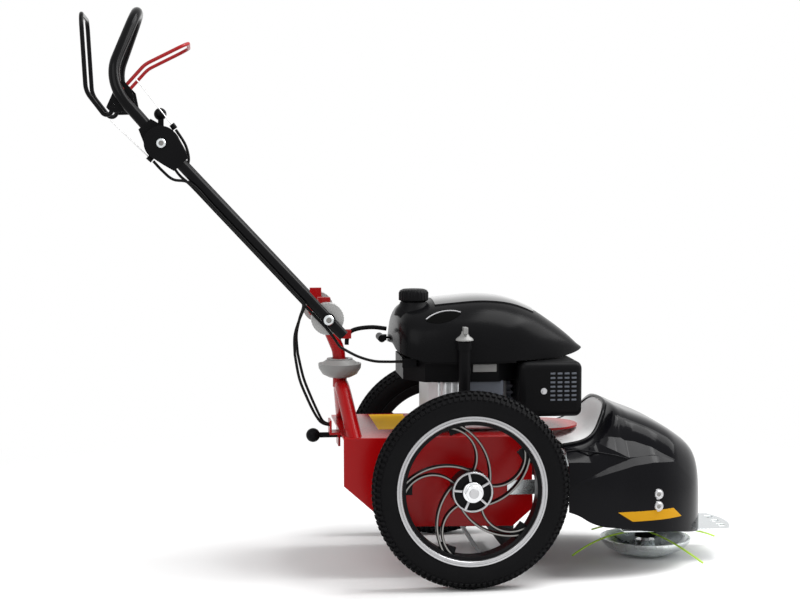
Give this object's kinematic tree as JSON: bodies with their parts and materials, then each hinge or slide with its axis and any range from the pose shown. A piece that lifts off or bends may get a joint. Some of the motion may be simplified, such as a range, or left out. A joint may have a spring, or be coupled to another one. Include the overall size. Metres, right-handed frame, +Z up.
{
  "type": "wheeled string trimmer",
  "caption": "Walk-behind string trimmer on large spoked wheels with a vertical-shaft engine, tilting handle with red and black control bails, belt-driven line head under a black hood.",
  "frame": {"origin": "on the ground, under the middle of the machine's length and width, lines left out", "axes": "+X forward to the trimmer head, +Y to the machine's left, +Z up"},
  "size_m": [1.204, 0.544, 1.023],
  "materials": {
    "tyre_rubber": "matte",
    "wheel_black": "satin with bright edges",
    "zinc": "zinc plated",
    "steel": "bare steel",
    "chrome_nut": "polished",
    "cast_alloy": "as cast",
    "dark_alloy": "painted grey",
    "red_paint": "gloss",
    "black_paint": "gloss",
    "black_plastic": "matte",
    "hood_plastic": "gloss",
    "grey_plastic": "matte",
    "shield_metal": "matte grey",
    "line_plastic": "translucent",
    "black_rubber": "matte"
  },
  "bodies": {
    "chassis": {"axle_bearings": "steel", "gearbox_housing": "cast_alloy", "right_side_plate": "red_paint", "left_side_plate": "red_paint", "top_deck": "red_paint", "handle_fork": "red_paint", "swivel_bowl": "grey_plastic", "crankcase": "cast_alloy", "engine_cylinder": "dark_alloy", "engine_shroud": "black_plastic", "engine_cover": "black_plastic", "fuel_tank": "black_plastic", "filler_tube": "black_plastic", "muffler": "steel", "muffler_guard": "black_paint", "hood": "hood_plastic", "heat_shield": "shield_metal", "hood_arms": "zinc", "guard_plate": "zinc", "spindle_housing": "cast_alloy", "drive_belt": "black_rubber", "cutter_belt": "black_rubber", "deflector": "steel", "rubber_flap": "black_rubber", "cables_lower": "black_rubber"},
    "axle": {"drive_axle": "steel", "hub_nuts": "chrome_nut"},
    "right_wheel_body": {"right_tyre": "tyre_rubber", "right_wheel": "wheel_black"},
    "left_wheel_body": {"left_tyre": "tyre_rubber", "left_wheel": "wheel_black"},
    "gear_input": {"input_pulley": "steel"},
    "crank": {"crankshaft": "steel", "engine_pulley": "steel"},
    "cutter": {"spindle": "steel", "spindle_pulley": "steel", "trimmer_head": "black_plastic", "trimmer_lines": "line_plastic"},
    "saucer": {"glide_saucer": "zinc"},
    "column": {"yoke": "red_paint", "tilt_discs_inner": "grey_plastic", "cables_middle": "black_rubber"},
    "lower_handle": {"tilt_discs_outer": "grey_plastic", "lower_tubes": "black_paint", "handle_bolts": "zinc", "joint_halves_lower": "black_plastic", "cables_upper": "black_rubber"},
    "upper_loop": {"joint_halves_upper": "black_plastic", "upper_handle": "black_paint", "bail_brackets": "black_paint"},
    "cutter_control": {"cutter_bail": "black_paint"},
    "drive_control": {"drive_bail": "red_paint"},
    "throttle": {"throttle_lever": "black_plastic"},
    "clamp": {"clamp_lever": "black_plastic"},
    "selector": {"selector_rod": "black_plastic"},
    "cap": {"fuel_cap": "black_plastic"},
    "oil_stick": {"dipstick": "grey_plastic"},
    "starter": {"starter_grip": "black_plastic"},
    "drive_tension": {"drive_idler": "steel"},
    "cutter_tension": {"cutter_idler": "steel"}
  },
  "joints": [
    {"name": "axle_spin", "type": "hinge", "parent": "chassis", "child": "axle", "pos_m": [0.072, 0, 0.175], "axis": [0, 1, 0], "continuous": true},
    {"name": "right_wheel_spin", "type": "hinge", "parent": "axle", "child": "right_wheel_body", "pos_m": [0.072, -0.235, 0.175], "axis": [0, 1, 0], "continuous": true},
    {"name": "left_wheel_spin", "type": "hinge", "parent": "axle", "child": "left_wheel_body", "pos_m": [0.072, 0.235, 0.175], "axis": [0, 1, 0], "continuous": true},
    {"name": "gear_input_spin", "type": "hinge", "parent": "chassis", "child": "gear_input", "pos_m": [0.04, 0, 0.2], "axis": [0, 0, 1], "continuous": true},
    {"name": "crank_spin", "type": "hinge", "parent": "chassis", "child": "crank", "pos_m": [0.112, 0, 0.3], "axis": [0, 0, 1], "continuous": true},
    {"name": "cutter_spin", "type": "hinge", "parent": "chassis", "child": "cutter", "pos_m": [0.444, 0, 0.1], "axis": [0, 0, 1], "continuous": true},
    {"name": "saucer_spin", "type": "hinge", "parent": "cutter", "child": "saucer", "pos_m": [0.444, 0, 0.02], "axis": [0, 0, 1], "continuous": true},
    {"name": "column_swivel", "type": "hinge", "parent": "chassis", "child": "column", "pos_m": [-0.139, 0, 0.36], "axis": [0, 0, 1], "range_deg": [-25, 25], "deforming": ["cables_lower"]},
    {"name": "handle_tilt", "type": "hinge", "parent": "column", "child": "lower_handle", "pos_m": [-0.171, 0, 0.469], "axis": [0, 1, 0], "range_deg": [-15, 20], "deforming": ["cables_middle"]},
    {"name": "upper_joint", "type": "hinge", "parent": "lower_handle", "child": "upper_loop", "pos_m": [-0.46, 0, 0.779], "axis": [0, 1, 0], "range_deg": [-20, 40], "deforming": ["cables_upper"]},
    {"name": "cutter_bail_pivot", "type": "hinge", "parent": "upper_loop", "child": "cutter_control", "pos_m": [-0.543, 0, 0.844], "axis": [0, 1, 0], "range_deg": [0, 24], "stiffness_Nm_per_rad": 1.2, "springref_deg": -11.46, "deforming": ["cables_upper"]},
    {"name": "drive_bail_pivot", "type": "hinge", "parent": "upper_loop", "child": "drive_control", "pos_m": [-0.527, 0, 0.874], "axis": [0, -1, 0], "range_deg": [0, 34], "stiffness_Nm_per_rad": 1, "springref_deg": -11.46, "deforming": ["cables_upper"]},
    {"name": "throttle_pivot", "type": "hinge", "parent": "upper_loop", "child": "throttle", "pos_m": [-0.46, 0, 0.779], "axis": [0, 1, 0], "range_deg": [-8, 40], "deforming": ["cables_upper"]},
    {"name": "clamp_pivot", "type": "hinge", "parent": "column", "child": "clamp", "pos_m": [-0.127, 0, 0.428], "axis": [0, -1, 0], "range_deg": [0, 60]},
    {"name": "selector_slide", "type": "slide", "parent": "chassis", "child": "selector", "axis": [1, 0, 0], "range_m": [0, 0.02]},
    {"name": "fuel_cap_turn", "type": "hinge", "parent": "chassis", "child": "cap", "pos_m": [-0.006, -0.04, 0.5], "axis": [0, 0, 1], "range_deg": [0, 90]},
    {"name": "dipstick_slide", "type": "slide", "parent": "chassis", "child": "oil_stick", "axis": [0, 0, 1], "range_m": [0, 0.12]},
    {"name": "starter_pull", "type": "slide", "parent": "chassis", "child": "starter", "axis": [-1, 0, 0], "range_m": [0, 0.24], "stiffness_N_per_m": 20, "springref_m": -0.2},
    {"name": "drive_idler_pivot", "type": "hinge", "parent": "chassis", "child": "drive_tension", "pos_m": [0.124, -0.062, 0.245], "axis": [0, 0, 1], "range_deg": [-6.2, 0.2]},
    {"name": "cutter_idler_pivot", "type": "hinge", "parent": "chassis", "child": "cutter_tension", "pos_m": [0.212, -0.055, 0.228], "axis": [0, 0, 1], "range_deg": [-0.2, 5.8]}
  ],
  "couplings": [
    {"joint": "gear_input_spin", "follows": "axle_spin", "ratio": 15},
    {"joint": "drive_idler_pivot", "follows": "drive_bail_pivot", "ratio": -0.176},
    {"joint": "cutter_idler_pivot", "follows": "cutter_bail_pivot", "ratio": 0.23}
  ]
}
